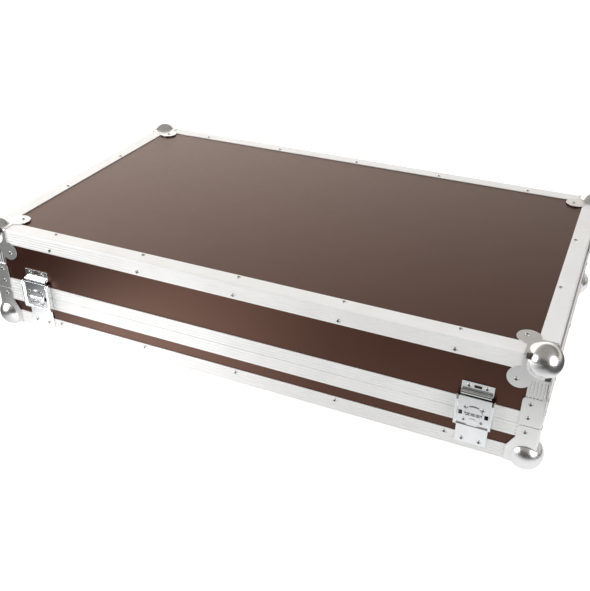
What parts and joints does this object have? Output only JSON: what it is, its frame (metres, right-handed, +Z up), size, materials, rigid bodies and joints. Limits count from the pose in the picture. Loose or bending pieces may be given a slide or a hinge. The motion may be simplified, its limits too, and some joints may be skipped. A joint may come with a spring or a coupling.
{
  "type": "keyboard flight case",
  "caption": "Hard transport case for a stage keyboard: panelled box with ball corners, a hinged lid and butterfly latches on the front.",
  "frame": {"origin": "on the floor under the middle of the case, which stands on its four lower ball corners", "axes": "+Z up, -Y out of the front with the latches, +X to the right along the case's length"},
  "size_m": [1.0746, 0.6488, 0.233],
  "materials": {
    "brown_panel": "satin film face",
    "satin_aluminium": "satin",
    "corner_plating": "bright zinc",
    "latch_plating": "bright zinc",
    "rivet_steel": "bright",
    "grey_foam": "matt foam"
  },
  "bodies": {
    "base": {"base_ball_corners": "corner_plating", "base_bottom_panel": "brown_panel", "base_corner_posts": "satin_aluminium", "base_foam_bed": "grey_foam", "base_foam_strips": "grey_foam", "base_front_closing_profile": "satin_aluminium", "base_front_edge_angle": "satin_aluminium", "base_front_panel": "brown_panel", "base_left_closing_profile": "satin_aluminium", "base_left_edge_angle": "satin_aluminium", "base_left_panel": "brown_panel", "base_rear_closing_profile": "satin_aluminium", "base_rear_edge_angle": "satin_aluminium", "base_rear_panel": "brown_panel", "base_right_closing_profile": "satin_aluminium", "base_right_edge_angle": "satin_aluminium", "base_right_panel": "brown_panel", "base_rivets": "rivet_steel", "hinge_base_leaves": "latch_plating", "hinge_pins": "rivet_steel", "latch_dishes": "latch_plating", "latch_left_strap": "latch_plating", "latch_right_strap": "latch_plating"},
    "lid": {"hinge_lid_leaves": "latch_plating", "latch_left_keeper": "latch_plating", "latch_right_keeper": "latch_plating", "lid_ball_corners": "corner_plating", "lid_corner_braces": "corner_plating", "lid_corner_posts": "satin_aluminium", "lid_foam_pad": "grey_foam", "lid_front_closing_profile": "satin_aluminium", "lid_front_edge_angle": "satin_aluminium", "lid_front_panel": "brown_panel", "lid_left_closing_profile": "satin_aluminium", "lid_left_edge_angle": "satin_aluminium", "lid_left_panel": "brown_panel", "lid_rear_closing_profile": "satin_aluminium", "lid_rear_edge_angle": "satin_aluminium", "lid_rear_panel": "brown_panel", "lid_right_closing_profile": "satin_aluminium", "lid_right_edge_angle": "satin_aluminium", "lid_right_panel": "brown_panel", "lid_rivets": "rivet_steel", "lid_top_panel": "brown_panel"},
    "latch_left_hook": {"latch_left_hook": "latch_plating"},
    "latch_left_rotor": {"latch_left_rotor": "latch_plating"},
    "latch_left_wing": {"latch_left_wing": "latch_plating"},
    "latch_right_hook": {"latch_right_hook": "latch_plating"},
    "latch_right_rotor": {"latch_right_rotor": "latch_plating"},
    "latch_right_wing": {"latch_right_wing": "latch_plating"}
  },
  "joints": [
    {"name": "lid_hinge", "type": "hinge", "parent": "base", "child": "lid", "pos_m": [0, 0.3162, 0.08975], "axis": [-1, 0, 0], "range_deg": [0, 95]},
    {"name": "latch_left_turn", "type": "hinge", "parent": "base", "child": "latch_left_rotor", "pos_m": [-0.423, -0.311, 0.0905], "axis": [0, -1, 0], "range_deg": [0, 180]},
    {"name": "latch_left_hook_slide", "type": "slide", "parent": "base", "child": "latch_left_hook", "axis": [0, -0.1822, 0.9833], "range_m": [0, 0.011]},
    {"name": "latch_left_wing_fold", "type": "hinge", "parent": "latch_left_rotor", "child": "latch_left_wing", "pos_m": [-0.423, -0.3225, 0.0905], "axis": [-1, 0, 0], "range_deg": [0, 90]},
    {"name": "latch_right_turn", "type": "hinge", "parent": "base", "child": "latch_right_rotor", "pos_m": [0.423, -0.311, 0.0905], "axis": [0, -1, 0], "range_deg": [0, 180]},
    {"name": "latch_right_hook_slide", "type": "slide", "parent": "base", "child": "latch_right_hook", "axis": [0, -0.1822, 0.9833], "range_m": [0, 0.011]},
    {"name": "latch_right_wing_fold", "type": "hinge", "parent": "latch_right_rotor", "child": "latch_right_wing", "pos_m": [0.423, -0.3225, 0.0905], "axis": [-1, 0, 0], "range_deg": [0, 90]}
  ],
  "couplings": [
    {"joint": "latch_left_hook_slide", "follows": "latch_left_turn", "m_per_rad": 0.0035},
    {"joint": "latch_right_hook_slide", "follows": "latch_right_turn", "m_per_rad": 0.0035}
  ]
}
